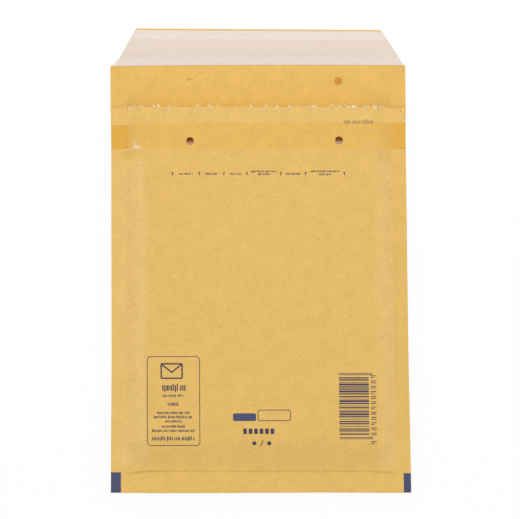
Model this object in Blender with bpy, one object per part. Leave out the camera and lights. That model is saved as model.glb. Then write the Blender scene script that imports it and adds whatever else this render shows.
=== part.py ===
# Padded envelope for post, lying on its back with the closing flap open.
# A folded kraft paper jacket holds a welded pocket of bubble film. The flap carries a strip of
# adhesive under a release liner. Metres, +X across the width, +Y towards the flap, +Z up.

import math

import bmesh
import bpy
from mathutils.geometry import delaunay_2d_cdt

# Paper jacket
WIDTH = 0.170  # between the two raw side edges
POCKET_LENGTH = 0.220  # mouth edge of the front panel to the bottom fold
PAPER = 0.00025  # thickness of the kraft paper
BOTTOM_SEAM = 0.0119  # glued zone between the bottom fold and the crease
FOLD_GAP = 0.0003  # space between the two plies at the bottom fold
FLAP_NECK = 0.0256  # mouth edge to the foot of the flap's slanted ends
FLAP_END_INSET = 0.0137  # ends of the flap's straight edge in from the side edges
FLAP_CORNER = 0.0012  # rounding of the flap's two end corners
FLAP_FLARE = 0.0027  # length of the short flare at the foot of the slants
FLAP_FLARE_DEPTH = 0.0024  # how far each slant stands in from the side edge there
FLAP_FLAT = 0.0038  # flat bare paper before the foot of the slants

# Bubble film pocket
SIDE_SEAM = 0.0075  # weld zone along each side, measured from the paper's edge
FILM = 0.0003  # thickness of one wall between its bubbles
FILM_INSET = 0.0005  # film edge in from the paper's side edge
FILM_PEEK = 0.0008  # film edge out past the paper at the mouth
BOTTOM_WELD = 0.0015  # width of the weld above the bottom crease
SHOULDER = 0.011  # run from a weld up to the full thickness
POCKET_HEIGHT = 0.0046  # free height inside the pocket
SEAM_LIFT = 0.003  # underside of the side seams above the table
BUBBLE_PITCH = 0.011  # spacing of the bubbles, whose feet touch
BUBBLE_TOP = 0.0084  # width of a bubble over its flat top, corner to corner
BUBBLE_HEIGHT = 0.0024

# Clip holes, through every layer below the mouth and through the flap
HOLE = 0.0045  # diameter
HOLE_SPACING = 0.0854
HOLE_SHIFT = 0.0037  # middle of the pair to the right of the envelope's middle
BODY_HOLE_DROP = 0.0196  # hole centres below the mouth edge
FLAP_HOLE_RISE = 0.0157  # hole centre above the mouth edge
BURST_MARGIN = 0.0005  # a bubble closer than this to a hole has burst flat

# Adhesive and release liner on the flap, counted from the foot of the slants outwards
LINER_NEAR = 0.0066  # liner before the adhesive strip
ADHESIVE_WIDTH = 0.0089
LINER_FAR = 0.0047  # liner past the strip
FLAP_EDGE = 0.0012  # bare paper between the liner and the flap's straight end
ADHESIVE = 0.0002  # thickness of the strip
ADHESIVE_INSET = 0.001  # strip ends in from the flap's slanted ends
LINER = 0.00015  # thickness of the liner
LINER_DRAPE = 0.0012  # run over which the liner steps down beside the strip

LAY_GAP = 0.00015  # space kept between sheets that lie on each other

# Steps along curves
SHOULDER_STEPS = 6
FOLD_STEPS = 6
SETTLE_STEPS = 5
CUT_STEPS = 3
HOLE_SIDES = 20
BUBBLE_SIDES = 6

# Places that follow from the sizes above
LINER_WIDTH = LINER_NEAR + ADHESIVE_WIDTH + LINER_FAR
FLAP_LENGTH = FLAP_NECK + LINER_WIDTH + FLAP_EDGE
END_Y = (POCKET_LENGTH + FLAP_LENGTH) / 2
MOUTH_Y = END_Y - FLAP_LENGTH
FOLD_Y = -END_Y
FOLD_CENTRE_Y = FOLD_Y + PAPER + FOLD_GAP / 2
CREASE_Y = FOLD_Y + BOTTOM_SEAM
NECK_Y = MOUTH_Y + FLAP_NECK
SLANT_Y = NECK_Y + FLAP_FLARE
STRIP_Y = NECK_Y + LINER_NEAR
STRIP_END_Y = STRIP_Y + ADHESIVE_WIDTH
HOLE_LEFT = HOLE_SHIFT - HOLE_SPACING / 2
HOLE_RIGHT = HOLE_SHIFT + HOLE_SPACING / 2
WELD_Y = CREASE_Y + LAY_GAP + BOTTOM_WELD
WELD_X = WIDTH / 2 - SIDE_SEAM
FLAT_X = WELD_X - SHOULDER
FLAT_Y = WELD_Y + SHOULDER
FILM_X = WIDTH / 2 - FILM_INSET
FILM_END_Y = MOUTH_Y + FILM_PEEK
FLOOR_Z = PAPER + LAY_GAP + BUBBLE_HEIGHT + FILM
CEILING_Z = FLOOR_Z + POCKET_HEIGHT
SEAM_Z = SEAM_LIFT + PAPER + LAY_GAP + FILM


def rise(distance):
    # Rounded shoulder of the padding: 0 on the weld, 1 where the padding is full.
    share = min(max(distance / SHOULDER, 0.0), 1.0)
    return math.sin(share * math.pi / 2)


def fullness(x, y):
    return rise(WELD_X - abs(x)) * rise(y - WELD_Y)


def floor_height(full):
    return SEAM_Z + (FLOOR_Z - SEAM_Z) * full


def ceiling_height(full):
    return SEAM_Z + (CEILING_Z - SEAM_Z) * full


def ply_closing(y):
    # Below the crease no film lies between the two paper plies, and they close up.
    share = min(max((CREASE_Y - y) / BOTTOM_WELD, 0.0), 1.0)
    return (FILM + LAY_GAP - FOLD_GAP / 2) * share


def back_height(x, y):
    # Upper face of the back panel and of the flap that carries on from it.
    full = fullness(x, y)
    height = floor_height(full) - FILM - BUBBLE_HEIGHT * full - LAY_GAP + ply_closing(y)
    lifted = 1 - min(max((y - MOUTH_Y) / (FLAP_NECK - FLAP_FLAT), 0.0), 1.0)
    settle = lifted * lifted * (3 - 2 * lifted)
    return PAPER + (height - PAPER) * settle


def front_height(x, y):
    # Lower face of the front panel.
    full = fullness(x, y)
    return ceiling_height(full) + FILM + BUBBLE_HEIGHT * full + LAY_GAP - ply_closing(y)


def flap_half_width(y):
    # Half the width of the paper along the flap, with the flares and the rounded end corners.
    if y <= NECK_Y:
        return WIDTH / 2
    if y <= SLANT_Y:
        share = (y - NECK_Y) / FLAP_FLARE
        return WIDTH / 2 - FLAP_FLARE_DEPTH * math.sin(share * math.pi / 2)
    share = (y - SLANT_Y) / (END_Y - SLANT_Y)
    half = WIDTH / 2 - FLAP_FLARE_DEPTH + (FLAP_FLARE_DEPTH - FLAP_END_INSET) * share
    into_corner = max(y - (END_Y - FLAP_CORNER), 0.0)
    return half - FLAP_CORNER + math.sqrt(max(FLAP_CORNER**2 - into_corner**2, 0.0))


def shoulder_stations(weld, inward):
    # Cross lines of the shoulder from its weld to the full thickness.
    return [weld + inward * SHOULDER * step / SHOULDER_STEPS for step in range(SHOULDER_STEPS + 1)]


def across_stations(edge):
    right = sorted([*shoulder_stations(WELD_X, -1), edge])
    return [-x for x in reversed(right)] + right


def body_stations():
    # Cross lines of a panel from the bottom fold up to the full thickness.
    return [FOLD_CENTRE_Y, CREASE_Y - BOTTOM_WELD, CREASE_Y, *shoulder_stations(WELD_Y, 1)]


def flare_stations():
    return [NECK_Y + FLAP_FLARE * step / CUT_STEPS for step in range(CUT_STEPS + 1)]


def flap_stations():
    # Cross lines of the flap from the mouth edge out to its straight end.
    run = FLAP_NECK - FLAP_FLAT
    settle = [MOUTH_Y + run * step / SETTLE_STEPS for step in range(SETTLE_STEPS + 1)]
    turns = [math.pi / 2 * step / CUT_STEPS for step in range(CUT_STEPS + 1)]
    corner = [END_Y - FLAP_CORNER * (1 - math.sin(turn)) for turn in turns]
    return settle + flare_stations() + corner


def material(name, colour, roughness):
    finish = bpy.data.materials.new(name)
    finish.use_nodes = True
    shader = finish.node_tree.nodes["Principled BSDF"]
    shader.inputs["Base Color"].default_value = (*colour, 1.0)
    shader.inputs["Roughness"].default_value = roughness
    shader.inputs["Metallic"].default_value = 0.0
    return finish


def finish_object(name, bm, finish, edge_angle=30):
    bmesh.ops.recalc_face_normals(bm, faces=bm.faces)
    mesh = bpy.data.meshes.new(name)
    bm.to_mesh(mesh)
    bm.free()
    mesh.shade_smooth()
    mesh.set_sharp_from_angle(angle=math.radians(edge_angle))
    piece = bpy.data.objects.new(name, mesh)
    mesh.materials.append(finish)
    bpy.context.collection.objects.link(piece)
    return piece


def split_quad(bm, corners, full):
    # Two triangles along the diagonal that joins the fuller corners, alike on every layer.
    a, b, c, d = corners
    if full[0] + full[2] >= full[1] + full[3]:
        triangles = ((a, b, c), (a, c, d))
    else:
        triangles = ((a, b, d), (b, c, d))
    for triangle in triangles:
        bm.faces.new(triangle)


def grid_faces(bm, grid, skip=None):
    for row in range(len(grid) - 1):
        for column in range(len(grid[0]) - 1):
            if skip is not None and skip(row, column):
                continue
            corners = (
                grid[row][column],
                grid[row][column + 1],
                grid[row + 1][column + 1],
                grid[row + 1][column],
            )
            full = [fullness(corner.co.x, corner.co.y) for corner in corners]
            split_quad(bm, corners, full)


def sheet_body(outer_points, inner_points):
    # Closed thin sheet between two grids of points with the same rows and columns.
    bm = bmesh.new()
    outer = [[bm.verts.new(point) for point in row] for row in outer_points]
    inner = [[bm.verts.new(point) for point in row] for row in inner_points]
    grid_faces(bm, outer)
    grid_faces(bm, inner)
    outer_rim = outer[0] + [row[-1] for row in outer[1:]]
    outer_rim += outer[-1][-2::-1] + [row[0] for row in outer[-2:0:-1]]
    inner_rim = inner[0] + [row[-1] for row in inner[1:]]
    inner_rim += inner[-1][-2::-1] + [row[0] for row in inner[-2:0:-1]]
    for index, vertex in enumerate(outer_rim):
        after = (index + 1) % len(outer_rim)
        bm.faces.new((vertex, outer_rim[after], inner_rim[after], inner_rim[index]))
    return bm


def hole_cutter(name, x, y):
    # A round punch, longer each way than the envelope is thick.
    depth = 4 * (CEILING_Z + BUBBLE_HEIGHT)
    bm = bmesh.new()
    bmesh.ops.create_cone(
        bm, cap_ends=True, segments=HOLE_SIDES, radius1=HOLE / 2, radius2=HOLE / 2, depth=depth
    )
    mesh = bpy.data.meshes.new(name)
    bm.to_mesh(mesh)
    bm.free()
    cutter = bpy.data.objects.new(name, mesh)
    cutter.location = (x, y, 0.0)
    cutter.hide_render = True
    cutter.display_type = "WIRE"
    bpy.context.collection.objects.link(cutter)
    return cutter


def punch(piece, cutters):
    for cutter in cutters:
        cut = piece.modifiers.new("Punch " + cutter.name, "BOOLEAN")
        cut.operation = "DIFFERENCE"
        cut.solver = "EXACT"
        cut.object = cutter


def make_jacket(cutters):
    # The sheet runs from the flap's end down the back, round the bottom fold and up the front.
    columns = across_stations(WIDTH / 2)
    outer = []
    inner = []
    for y in reversed(body_stations() + flap_stations()):
        scale = flap_half_width(y) / (WIDTH / 2)
        row = [(x * scale, y, back_height(x * scale, y)) for x in columns]
        inner.append(row)
        outer.append([(x, y, z - PAPER) for x, y, z in row])
    for step in range(1, FOLD_STEPS):
        angle = math.pi * (step / FOLD_STEPS - 0.5)
        for rows, radius in ((outer, FOLD_GAP / 2 + PAPER), (inner, FOLD_GAP / 2)):
            y = FOLD_CENTRE_Y - radius * math.cos(angle)
            z = SEAM_Z + radius * math.sin(angle)
            rows.append([(x, y, z) for x in columns])
    for y in body_stations() + [MOUTH_Y]:
        row = [(x, y, front_height(x, y)) for x in columns]
        inner.append(row)
        outer.append([(x, y, z + PAPER) for x, y, z in row])
    finish = material("Golden kraft paper", (0.78, 0.50, 0.15), 0.75)
    jacket = finish_object("kraft_paper_jacket", sheet_body(outer, inner), finish)
    punch(jacket, cutters)


def bubble_centres():
    # Staggered rows over the flat of the padding. A bubble that a clip hole cuts has burst.
    foot = BUBBLE_PITCH / 2
    row_pitch = BUBBLE_PITCH * math.sqrt(3) / 2
    in_row = int((2 * FLAT_X) / BUBBLE_PITCH + 1e-6)
    rows = int((FILM_END_Y - FLAT_Y - BUBBLE_PITCH) / row_pitch + 1e-6) + 1
    first_y = (FILM_END_Y + FLAT_Y - (rows - 1) * row_pitch) / 2
    holes = [(x, MOUTH_Y - BODY_HOLE_DROP) for x in (HOLE_LEFT, HOLE_RIGHT)]
    centres = []
    for row in range(rows):
        count = in_row - row % 2
        y = first_y + row * row_pitch
        for index in range(count):
            x = (index - (count - 1) / 2) * BUBBLE_PITCH
            clear = min(math.hypot(x - hole_x, y - hole_y) for hole_x, hole_y in holes)
            if clear > foot + HOLE / 2 + BURST_MARGIN:
                centres.append((x, y))
    return centres


def ring(x, y, radius):
    turns = [2 * math.pi * side / BUBBLE_SIDES for side in range(BUBBLE_SIDES)]
    return [(x + radius * math.cos(turn), y + radius * math.sin(turn)) for turn in turns]


def bubble_ply(bm, frame, film_z, top_z):
    # Flat film inside the frame of corners, with a bubble raised over every foot.
    outline = [(corner.co.x, corner.co.y) for corner in frame]
    centres = bubble_centres()
    points = list(outline)
    feet = []
    for x, y in centres:
        feet.append(list(range(len(points), len(points) + BUBBLE_SIDES)))
        points += ring(x, y, BUBBLE_PITCH / 2)
    edges = [(index, (index + 1) % len(outline)) for index in range(len(outline))]
    found, _, faces, sources, _, foot_of = delaunay_2d_cdt(points, edges, feet, 0, 1e-6, True)
    vertices = []
    place = {}
    for index, point in enumerate(found):
        made = sources[index] and sources[index][0] < len(outline)
        vertices.append(frame[sources[index][0]] if made else bm.verts.new((point.x, point.y, film_z)))
        for source in sources[index]:
            place[source] = vertices[-1]
    for face, inside in zip(faces, foot_of):
        if not inside:
            bm.faces.new([vertices[index] for index in face])
    for (x, y), foot in zip(centres, feet):
        low = [place[index] for index in foot]
        high = [bm.verts.new((*corner, top_z)) for corner in ring(x, y, BUBBLE_TOP / 2)]
        for index in range(BUBBLE_SIDES):
            after = (index + 1) % BUBBLE_SIDES
            bm.faces.new((low[index], low[after], high[after], high[index]))
        bm.faces.new(high)


def make_lining(cutters):
    # One folded film, welded at the sides and the bottom: two outer faces over the whole
    # outline and two smooth inner faces that meet along the weld.
    columns = across_stations(FILM_X)
    rows = [CREASE_Y + LAY_GAP, *shoulder_stations(WELD_Y, 1), FILM_END_Y]
    bm = bmesh.new()

    def skin(first_row, first_column, height):
        last = len(columns) - first_column
        return [
            [bm.verts.new((x, y, height(fullness(x, y)))) for x in columns[first_column:last]]
            for y in rows[first_row:]
        ]

    upper = skin(0, 0, lambda full: ceiling_height(full) + FILM)
    lower = skin(0, 0, lambda full: floor_height(full) - FILM)
    ceiling = skin(1, 1, ceiling_height)
    floor = [
        [
            vertex if rows[1 + row] == WELD_Y or column in (0, len(line) - 1) else
            bm.verts.new((vertex.co.x, vertex.co.y, floor_height(fullness(vertex.co.x, vertex.co.y))))
            for column, vertex in enumerate(line)
        ]
        for row, line in enumerate(ceiling)
    ]
    middle = len(columns) // 2 - 1
    last_row = len(rows) - 2

    def padded(row, column):
        return row == last_row and column == middle

    grid_faces(bm, upper, padded)
    grid_faces(bm, lower, padded)
    grid_faces(bm, ceiling)
    grid_faces(bm, floor)
    for grid, film_z, top_z in (
        (upper, CEILING_Z + FILM, CEILING_Z + FILM + BUBBLE_HEIGHT),
        (lower, FLOOR_Z - FILM, FLOOR_Z - FILM - BUBBLE_HEIGHT),
    ):
        frame = [
            grid[last_row][middle],
            grid[last_row][middle + 1],
            grid[last_row + 1][middle + 1],
            grid[last_row + 1][middle],
        ]
        bubble_ply(bm, frame, film_z, top_z)

    # Outer edges of the welds
    for row in range(len(rows) - 1):
        for side in (0, -1):
            bm.faces.new((upper[row][side], upper[row + 1][side], lower[row + 1][side], lower[row][side]))
    for column in range(len(columns) - 1):
        bm.faces.new((upper[0][column], upper[0][column + 1], lower[0][column + 1], lower[0][column]))

    # Cut edges at the open mouth
    for outer, inner in ((upper, ceiling), (lower, floor)):
        for column in range(len(inner[-1]) - 1):
            edge = (outer[-1][column + 1], outer[-1][column + 2], inner[-1][column + 1], inner[-1][column])
            bm.faces.new(edge)
    for outside, inside, weld in ((0, 1, ceiling[-1][0]), (-1, -2, ceiling[-1][-1])):
        bm.faces.new((upper[-1][outside], upper[-1][inside], weld, lower[-1][inside], lower[-1][outside]))

    finish = material("Clear bubble film", (0.86, 0.84, 0.82), 0.25)
    lining = finish_object("bubble_film_lining", bm, finish, edge_angle=25)
    punch(lining, cutters)


def make_adhesive():
    low = PAPER + LAY_GAP
    bottom = []
    for y in (STRIP_Y, STRIP_END_Y):
        half = flap_half_width(y) - ADHESIVE_INSET
        bottom.append([(-half, y, low), (half, y, low)])
    top = [[(x, y, z + ADHESIVE) for x, y, z in row] for row in bottom]
    finish = material("Hot-melt adhesive", (0.62, 0.47, 0.30), 0.35)
    finish_object("adhesive_strip", sheet_body(bottom, top), finish)


def make_liner():
    # The liner lies on the flap and steps up over the adhesive.
    low = PAPER + LAY_GAP
    high = low + ADHESIVE + LAY_GAP
    profile = [(y, low) for y in (*flare_stations(), STRIP_Y - LINER_DRAPE)]
    profile += [(STRIP_Y - LAY_GAP, high), (STRIP_END_Y + LAY_GAP, high)]
    profile += [(STRIP_END_Y + LINER_DRAPE, low), (NECK_Y + LINER_WIDTH, low)]
    bottom = [[(-flap_half_width(y), y, z), (flap_half_width(y), y, z)] for y, z in profile]
    top = [[(x, y, z + LINER) for x, y, z in row] for row in bottom]
    finish = material("Siliconised liner paper", (0.81, 0.70, 0.61), 0.45)
    finish_object("release_liner", sheet_body(bottom, top), finish)


def main():
    for existing in list(bpy.data.objects):
        bpy.data.objects.remove(existing, do_unlink=True)
    body_hole_y = MOUTH_Y - BODY_HOLE_DROP
    through = [
        hole_cutter("left clip hole", HOLE_LEFT, body_hole_y),
        hole_cutter("right clip hole", HOLE_RIGHT, body_hole_y),
    ]
    flap_hole = hole_cutter("flap clip hole", HOLE_RIGHT, MOUTH_Y + FLAP_HOLE_RISE)
    make_jacket([*through, flap_hole])
    make_lining(through)
    make_adhesive()
    make_liner()


main()
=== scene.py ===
import math
import random

import bmesh
import bpy
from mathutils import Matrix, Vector, noise
from mathutils.geometry import delaunay_2d_cdt


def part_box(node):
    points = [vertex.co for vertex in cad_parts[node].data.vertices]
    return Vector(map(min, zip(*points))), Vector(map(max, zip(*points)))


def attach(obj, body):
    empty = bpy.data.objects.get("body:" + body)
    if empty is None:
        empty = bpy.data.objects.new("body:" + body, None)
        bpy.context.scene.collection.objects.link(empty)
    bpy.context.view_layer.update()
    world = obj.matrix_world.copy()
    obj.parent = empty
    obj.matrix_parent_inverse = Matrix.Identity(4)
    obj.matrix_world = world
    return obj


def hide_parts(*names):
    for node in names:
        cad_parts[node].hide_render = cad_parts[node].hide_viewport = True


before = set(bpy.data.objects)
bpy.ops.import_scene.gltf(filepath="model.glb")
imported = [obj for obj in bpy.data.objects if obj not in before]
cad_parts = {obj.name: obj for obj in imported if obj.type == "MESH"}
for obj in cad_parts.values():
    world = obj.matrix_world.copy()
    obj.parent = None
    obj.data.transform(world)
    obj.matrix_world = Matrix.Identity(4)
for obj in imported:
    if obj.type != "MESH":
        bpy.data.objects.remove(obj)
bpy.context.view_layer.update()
mm = 0.001

paperLow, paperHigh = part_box("kraft_paper_jacket")
filmLow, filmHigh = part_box("bubble_film_lining")
stripLow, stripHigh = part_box("adhesive_strip")
linerLow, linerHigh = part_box("release_liner")
print("frame loaded, paper from", tuple(paperLow), "to", tuple(paperHigh))

# How the sheet is folded and filled. What the frame gives is read from it.
pocket = {
    "lean": -0.0072,  # the blank was cut a hair out of square: metres across for each metre along
    "paper": 0.25 * mm,
    "film": 0.3 * mm,
    "foldGap": 0.3 * mm,  # space between the plies at the bottom fold
    "layGap": 0.15 * mm,
    "bubbleHeight": 2.4 * mm,
    "seamLift": 3 * mm,  # underside of the side seams above the table
    "filmPeek": 0.8 * mm,
    "bottomSeam": 11.9 * mm,
    "bottomWeld": 1.5 * mm,
    "sideSeam": 7.5 * mm,
    "shoulder": 11 * mm,
    "footRun": 19 * mm,  # the filling thins out more slowly towards the bottom
    "flat": 3.8 * mm,  # bare paper that lies flat before the liner
}
waist = {  # how far the long edges stand out from their mean line, drawn in by the filling
    "fold": 0.23 * mm,
    "foldRun": 0.35,
    "middle": -0.315 * mm,
    "neckRun": 0.2,
    "neck": 0.355 * mm,
    "spread": 6,
    "mouthSides": 0.45 * mm,  # the mouth's edge stands further up at its two ends
    "mouthReach": 40 * mm,
}
halfWidth = (paperHigh.x - paperLow.x) / 2
foldY, endY = paperLow.y, paperHigh.y
mouthY = filmHigh.y - pocket["filmPeek"]
creaseY = foldY + pocket["bottomSeam"]
neckY = linerLow.y
weldX = halfWidth - pocket["sideSeam"]
weldY = creaseY + pocket["layGap"] + pocket["bottomWeld"]
foldCentre = foldY + pocket["paper"] + pocket["foldGap"] / 2
foldArc = math.pi * (pocket["foldGap"] + pocket["paper"]) / 2
seamMiddle = pocket["seamLift"] + pocket["paper"] + pocket["layGap"] + pocket["film"]
frontSeam = seamMiddle + pocket["film"] + pocket["layGap"]
frontFull = paperHigh.z - pocket["paper"]
backSeam = seamMiddle - pocket["film"] - pocket["layGap"]
backFull = pocket["paper"]


def clamp(value):
    return min(max(value, 0.0), 1.0)


def ease(value):
    value = clamp(value)
    return value * value * (3 - 2 * value)


def rise(distance, run):
    share = clamp(distance / run)
    return 0.5 * math.sin(share * math.pi / 2) + 0.5 * ease(share)


def fullness(x, y):
    # 0 on the welds, 1 where the padding is full
    return rise(weldX - abs(x), pocket["shoulder"]) * rise(y - weldY, pocket["footRun"])


def plyClosing(y):
    # below the crease no film lies between the plies
    gap = pocket["film"] + pocket["layGap"] - pocket["foldGap"] / 2
    return gap * clamp((creaseY - y) / pocket["bottomWeld"])


def spread(start, end, step):
    count = max(1, round(abs(end - start) / step))
    return [start + (end - start) * index / count for index in range(count + 1)]


def runs(start, *legs):
    # stations from start to the end of each leg, each leg at its own step
    places = [start]
    for end, step in legs:
        places += spread(places[-1], end, step)[1:]
    return places


def cloud(x, y, size, seed):
    return noise.noise(Vector((x / size, y / size, seed)))


def hump(distance, reach):
    return math.exp(-((distance / reach) ** 2))


# Soft unevenness of the filled pocket
relief = {
    "swell": 0.35 * mm,  # slow rise and fall of the front
    "swellSize": 55 * mm,
    "ripple": 0.07 * mm,
    "rippleSize": 14 * mm,
    "creaseDepth": 0.2 * mm,
    "creaseWidth": 0.6 * mm,
    "creaseRise": 0.33 * mm,  # above the film's edge
    "creaseWander": 0.12 * mm,
    "creaseDroop": (60 * mm, 78 * mm, 1.0 * mm),  # where its ends bend down: from, to, how far
    "creaseWeak": (-62 * mm, -46 * mm, 0.66),  # past here it is pressed less: from, to, share
    "creaseLeft": -74 * mm,
    "creaseRight": 76 * mm,
    "creaseTaper": 14 * mm,
    "edgeWave": 0.16 * mm,
    "edgeFade": 2.5 * mm,  # the bottom fold's waves die out over this length
    "bows": [(33 * mm, 35 * mm, 0.28 * mm), (-30 * mm, 25 * mm, -0.12 * mm)],  # middle, reach, height
    "mouthWave": 0.8,  # share of the waves at the mouth's edge
    "mouthFade": 3 * mm,
    "flapSwell": 0.12 * mm,
    "flapSize": 38 * mm,
    "flapRun": 12 * mm,
}


def creasePress(x, y):
    # the pressed line above the bottom seam, running out towards both sides
    ends = ease((x - relief["creaseLeft"]) / relief["creaseTaper"])
    ends *= ease((relief["creaseRight"] - x) / relief["creaseTaper"])
    start, end, drop = relief["creaseDroop"]
    line = creaseY + relief["creaseRise"] + relief["creaseWander"] * cloud(x, 0, 40 * mm, 3.1)
    line -= drop * ease((abs(x) - start) / (end - start))
    start, end, share = relief["creaseWeak"]
    ends *= 1 - (1 - share) * ease((x - start) / (end - start))
    return relief["creaseDepth"] * ends * hump(y - line, relief["creaseWidth"])


def edgeShift(x, y):
    # the fold's and the mouth's edges aren't quite straight
    wave = relief["edgeWave"] * (cloud(x, 0, 17 * mm, 2.2) + 0.5 * cloud(x, 0, 6 * mm, 8.8))
    bow = sum(height * hump(x - middle, reach) for middle, reach, height in relief["bows"])
    return wave, (wave + bow) * math.exp(-(y - foldY) / relief["edgeFade"])


# The closing flap: each slanted end was cut on its own.
flap = {
    "longer": 0.2 * mm,
    "endSlope": -0.0068,
    "left": {"inset": 14.8 * mm, "flare": 4.1 * mm, "depth": 5.0 * mm, "bend": 0.7, "corner": 0.3 * mm},
    "right": {"inset": 13.75 * mm, "flare": 1.2 * mm, "depth": 1.35 * mm, "bend": 0.6, "corner": 1.3 * mm},
}
flareEnd = neckY + flap["left"]["flare"]


def acrossFlap(share, y):
    # share runs from -1 at the left cut edge to 1 at the right one
    cut = flap["right" if share > 0 else "left"]
    past = y - neckY
    if past <= 0:
        return share * halfWidth
    if past <= cut["flare"]:
        return share * (halfWidth - cut["depth"] * (past / cut["flare"]) ** cut["bend"])
    slant = (past - cut["flare"]) / (endY - neckY - cut["flare"])
    half = halfWidth - cut["depth"] + (cut["depth"] - cut["inset"]) * slant
    into = clamp((y - (endY - cut["corner"])) / cut["corner"])
    return share * (half - cut["corner"] * (1 - math.sqrt(1 - into * into)))


def backHeight(x, y):
    # upper face of the back panel and the flap
    height = backSeam + (backFull - backSeam) * fullness(x, y) + plyClosing(y)
    lifted = ease(1 - clamp((y - mouthY) / (neckY - mouthY - pocket["flat"])))
    swell = relief["flapSwell"] * (cloud(x, y, relief["flapSize"], 9.4) + 0.45)
    return backFull + (height - backFull) * lifted + ease((y - mouthY) / relief["flapRun"]) * swell


def frontHeight(x, y):
    # lower face of the front panel
    full = fullness(x, y)
    height = frontSeam + (frontFull - frontSeam) * full - plyClosing(y)
    height += relief["swell"] * (cloud(x, y, relief["swellSize"], 1.7) - 0.25) * full
    height += relief["ripple"] * cloud(x, y, relief["rippleSize"], 5.3) * (0.2 + 0.8 * full)
    return height - creasePress(x, y)


def leaned(x, y, z):
    # the place on the real sheet: its waist drawn in, and the whole out of square
    share = (y - foldY) / (neckY - foldY)
    end, run = ("fold", share / waist["foldRun"]) if share < 0.5 else ("neck", (1 - share) / waist["neckRun"])
    drawnIn = waist[end] + (waist["middle"] - waist[end]) * ease(run)
    edge = math.copysign(abs(x / halfWidth) ** waist["spread"], x)
    return Vector((x + edge * drawnIn + pocket["lean"] * y, y, z))


def backRow(y):
    # place along the blank of a point on the back panel or the flap, and the other way round
    return 2 * foldCentre - foldArc - y


def foldedPoint(x, along, outer):
    # the blank's point (x, along) on the folded sheet, on its printed side or its inner side
    lift = pocket["paper"] if outer else 0.0
    if along >= foldCentre:
        wave, shift = edgeShift(x, along)
        shift += relief["mouthWave"] * wave * math.exp(-(mouthY - along) / relief["mouthFade"])
        slack = 1 - rise(weldX - abs(x), pocket["shoulder"])
        shift += waist["mouthSides"] * slack * math.exp(-(mouthY - along) / waist["mouthReach"])
        return leaned(x, along + shift, frontHeight(x, along) + lift)
    if along >= foldCentre - foldArc:
        turn = math.pi * (foldCentre - along) / foldArc
        radius = pocket["foldGap"] / 2 + lift
        top = frontHeight(x, foldCentre) - seamMiddle - pocket["foldGap"] / 2
        y = foldCentre - radius * math.sin(turn) + edgeShift(x, foldCentre)[1]
        return leaned(x, y, seamMiddle + radius * math.cos(turn) + top * (1 + math.cos(turn)) / 2)
    y = backRow(along)
    shift = edgeShift(x, y)[1]
    if y > neckY:
        shift += (y - neckY) / (endY - neckY) * (flap["longer"] + flap["endSlope"] * x)
    return leaned(x, y + shift, max(backHeight(x, y) - lift, 0.0))


# Shapes printed on the front, in real sizes: x from the middle line, y up from the bottom fold
# or down from the mouth edge. Only plain marks: no words, signs or numbers.
paperMark, inkMark, faintMark, speckMark, solidMark = 0, 2, 3, 4, 5  # the finish of each kind of mark
printShift = (-0.27 * mm, 0.3 * mm)  # the print as a whole lies a hair off the sheet's middle


def onFront(x0, x1, y0, y1):
    # millimetres across, and up from the bottom fold, as real places
    return x0 * mm, x1 * mm, foldY + y0 * mm, foldY + y1 * mm


def box(x0, x1, y0, y1):
    return [(x0, y0), (x1, y0), (x1, y1), (x0, y1)]


def roundedBox(x0, x1, y0, y1, radius, steps=5):
    corners = ((x1 - radius, y0 + radius, -90), (x1 - radius, y1 - radius, 0))
    corners += ((x0 + radius, y1 - radius, 90), (x0 + radius, y0 + radius, 180))
    points = []
    for cx, cy, start in corners:
        for step in range(steps + 1):
            turn = math.radians(start + 90 * step / steps)
            points.append((cx + radius * math.cos(turn), cy + radius * math.sin(turn)))
    return points


def disc(x, y, radius, sides=16, stretch=1.0, turn=0.0):
    points = []
    cosine, sine = math.cos(turn), math.sin(turn)
    for side in range(sides):
        angle = 2 * math.pi * side / sides
        a, b = radius * stretch * math.cos(angle), radius * math.sin(angle)
        points.append((x + a * cosine - b * sine, y + a * sine + b * cosine))
    return points


def stationed(shape, step):
    # the same outline with points along its long edges, so that it follows the paper's swell
    points = []
    for index, (x0, y0) in enumerate(shape):
        x1, y1 = shape[(index + 1) % len(shape)]
        count = max(1, math.ceil(math.hypot(x1 - x0, y1 - y0) / step))
        for part in range(count):
            points.append((x0 + (x1 - x0) * part / count, y0 + (y1 - y0) * part / count))
    return points


def stroke(points, width):
    # a line of even width through two or more points, with mitred bends
    left, right = [], []
    for index, point in enumerate(points):
        here = Vector(point)
        behind = here - Vector(points[max(index - 1, 0)])
        ahead = Vector(points[min(index + 1, len(points) - 1)]) - here
        ahead = (ahead if ahead.length else behind).normalized()
        behind = behind.normalized() if index else ahead
        middle = (ahead + behind).normalized()
        across = Vector((-middle.y, middle.x)) * width / 2 / max(middle.dot(ahead), 0.3)
        left.append(tuple(here + across))
        right.append(tuple(here - across))
    return right + left[::-1]


def outlinedBox(x0, x1, y0, y1, line, radius):
    inner = roundedBox(x0 + line, x1 - line, y0 + line, y1 - line, max(radius - line, 0.2 * mm))
    return [(inkMark, roundedBox(x0, x1, y0, y1, radius)), (paperMark, inner)]


def tickRun(x0, x1, y0, y1, draw, tick, gap, kind=inkMark):
    # small upright ticks in word-like groups, in place of small print
    shapes = []
    x = x0
    left = draw.randint(4, 9)
    while x + tick <= x1 + 1e-9:
        low = y0 - (0.22 * (y1 - y0) if draw.random() < 0.1 else 0)
        high = y1 + (0.28 * (y1 - y0) if draw.random() < 0.22 else 0)
        shapes.append((kind, box(x, min(x + tick * draw.uniform(0.85, 1.25), x1), low, high)))
        x += tick + gap * draw.uniform(0.85, 1.15)
        left -= 1
        if left == 0:
            x += 1.6 * gap
            left = draw.randint(4, 9)
    return shapes


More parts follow.
